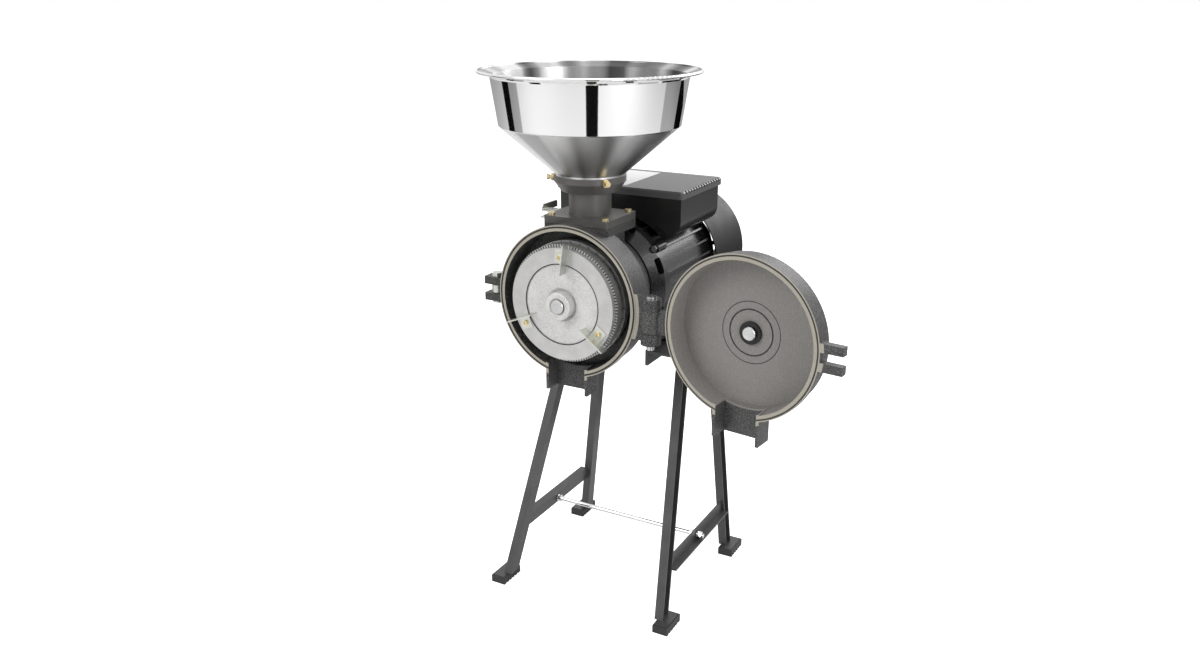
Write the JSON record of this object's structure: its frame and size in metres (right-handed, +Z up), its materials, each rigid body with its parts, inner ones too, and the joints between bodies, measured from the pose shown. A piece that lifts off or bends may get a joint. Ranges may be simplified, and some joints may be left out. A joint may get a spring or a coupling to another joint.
{
  "type": "electric grain mill",
  "caption": "Bench-height electric disc mill with hopper, slide gate, hinged cover, disc set and motor on a leg stand.",
  "frame": {"origin": "on the floor, straight below the point where the hopper's axis crosses the shaft's axis", "axes": "+Z up, +Y back along the motor shaft, -Y the front with the grinding discs, +X to the right with the cover's hinge"},
  "size_m": [0.517, 0.4623, 0.7467],
  "materials": {
    "polished_steel": "mirror",
    "dark_steel": "satin",
    "zinc": "satin",
    "brass_plated": "satin",
    "hammertone": "hammered",
    "cast_steel": "rough",
    "ground_iron": "ground",
    "steel": "satin",
    "black_steel": "satin",
    "laminated_steel": "rough",
    "copper": "varnished",
    "black_paint": "satin",
    "black_sheet": "gloss",
    "black_plastic": "satin",
    "label_plate": "satin",
    "switch_plastic": "gloss",
    "capacitor_plastic": "satin",
    "grey_paint": "satin",
    "chromed_rod": "polished",
    "black_rubber": "matte"
  },
  "bodies": {
    "frame": {"bare_label_plate": "label_plate", "cable_gland": "black_plastic", "capacitor_box": "black_plastic", "capacitor_box_lid": "black_plastic", "chamber_casting": "hammertone", "cowl_screws": "steel", "end_shield_bolts": "steel", "fan_cowl": "black_sheet", "fixed_disc_screws": "steel", "fixed_grinding_disc": "ground_iron", "front_bearing": "steel", "front_end_shield": "black_paint", "hinge_pin": "steel", "hopper": "polished_steel", "hopper_clamp_screws": "brass_plated", "latch_pivot_pin": "zinc", "left_front_leg": "grey_paint", "left_rear_leg": "grey_paint", "leg_braces": "grey_paint", "motor_foot_bolts": "steel", "motor_frame": "black_paint", "motor_rails": "grey_paint", "power_switch_body": "black_plastic", "rear_bearing": "steel", "rear_end_shield": "black_paint", "right_front_leg": "grey_paint", "right_rear_leg": "grey_paint", "rubber_feet": "black_rubber", "run_capacitor": "capacitor_plastic", "shaft_seal": "dark_steel", "start_capacitor": "capacitor_plastic", "stator_core": "laminated_steel", "stator_windings": "copper", "terminal_block": "capacitor_plastic", "throat_adapter": "dark_steel", "throat_screws": "brass_plated", "tie_rod": "chromed_rod", "tie_rod_nuts": "chromed_rod"},
    "shaft": {"motor_shaft": "steel", "drive_pin": "steel", "feed_screw": "steel", "disc_spring": "steel", "rotor_core": "laminated_steel", "cooling_fan": "black_plastic"},
    "moving_disc": {"disc_carrier": "cast_steel", "moving_grinding_disc": "ground_iron", "paddles": "zinc", "paddle_screws": "brass_plated", "thrust_button": "steel"},
    "cover": {"cover_casting": "hammertone", "press_sleeve": "black_steel"},
    "pressure_pin": {"thrust_pin": "steel"},
    "pressure_screw": {"press_screw": "steel", "lock_nut": "zinc", "handwheel": "black_steel"},
    "latch_bolt": {"swing_bolt": "zinc"},
    "latch_washer": {"latch_washer": "zinc"},
    "latch_nut": {"wing_nut": "zinc"},
    "gate": {"slide_gate": "zinc"},
    "rocker": {"power_rocker": "switch_plastic"}
  },
  "joints": [
    {"name": "shaft_spin", "type": "hinge", "parent": "frame", "child": "shaft", "pos_m": [0, 0.1, 0.4615], "axis": [0, 1, 0], "continuous": true},
    {"name": "disc_feed", "type": "slide", "parent": "shaft", "child": "moving_disc", "axis": [0, 1, 0], "range_m": [0, 0.006]},
    {"name": "cover_swing", "type": "hinge", "parent": "frame", "child": "cover", "pos_m": [0.1236, -0.0705, 0.4615], "axis": [0, 0, 1], "range_deg": [-172.5, 3]},
    {"name": "press_travel", "type": "slide", "parent": "cover", "child": "pressure_pin", "axis": [-0.1305, -0.9914, 0], "range_m": [0, 0.006]},
    {"name": "press_turn", "type": "hinge", "parent": "pressure_pin", "child": "pressure_screw", "pos_m": [0.2513, -0.04747, 0.4615], "axis": [-0.1305, -0.9914, 0], "range_deg": [0, 1080]},
    {"name": "latch_swing", "type": "hinge", "parent": "frame", "child": "latch_bolt", "pos_m": [-0.116, -0.046, 0.4607], "axis": [0, 0, 1], "range_deg": [0, 180]},
    {"name": "latch_nut_travel", "type": "slide", "parent": "latch_bolt", "child": "latch_washer", "axis": [0, -1, 0], "range_m": [0, 0.005]},
    {"name": "latch_nut_turn", "type": "hinge", "parent": "latch_washer", "child": "latch_nut", "pos_m": [-0.116, 0, 0.4607], "axis": [0, -1, 0], "range_deg": [0, 1440]},
    {"name": "gate_slide", "type": "slide", "parent": "frame", "child": "gate", "axis": [-1, 0, 0], "range_m": [0, 0.055]},
    {"name": "rocker_tilt", "type": "hinge", "parent": "frame", "child": "rocker", "pos_m": [-0.09, 0.101, 0.5585], "axis": [0, 0, -1], "range_deg": [0, 14]}
  ],
  "couplings": [
    {"joint": "press_travel", "follows": "press_turn", "m_per_rad": 0.00031831},
    {"joint": "disc_feed", "follows": "press_turn", "m_per_rad": 0.00031831},
    {"joint": "latch_nut_turn", "follows": "latch_nut_travel", "rad_per_m": 5026.5}
  ]
}
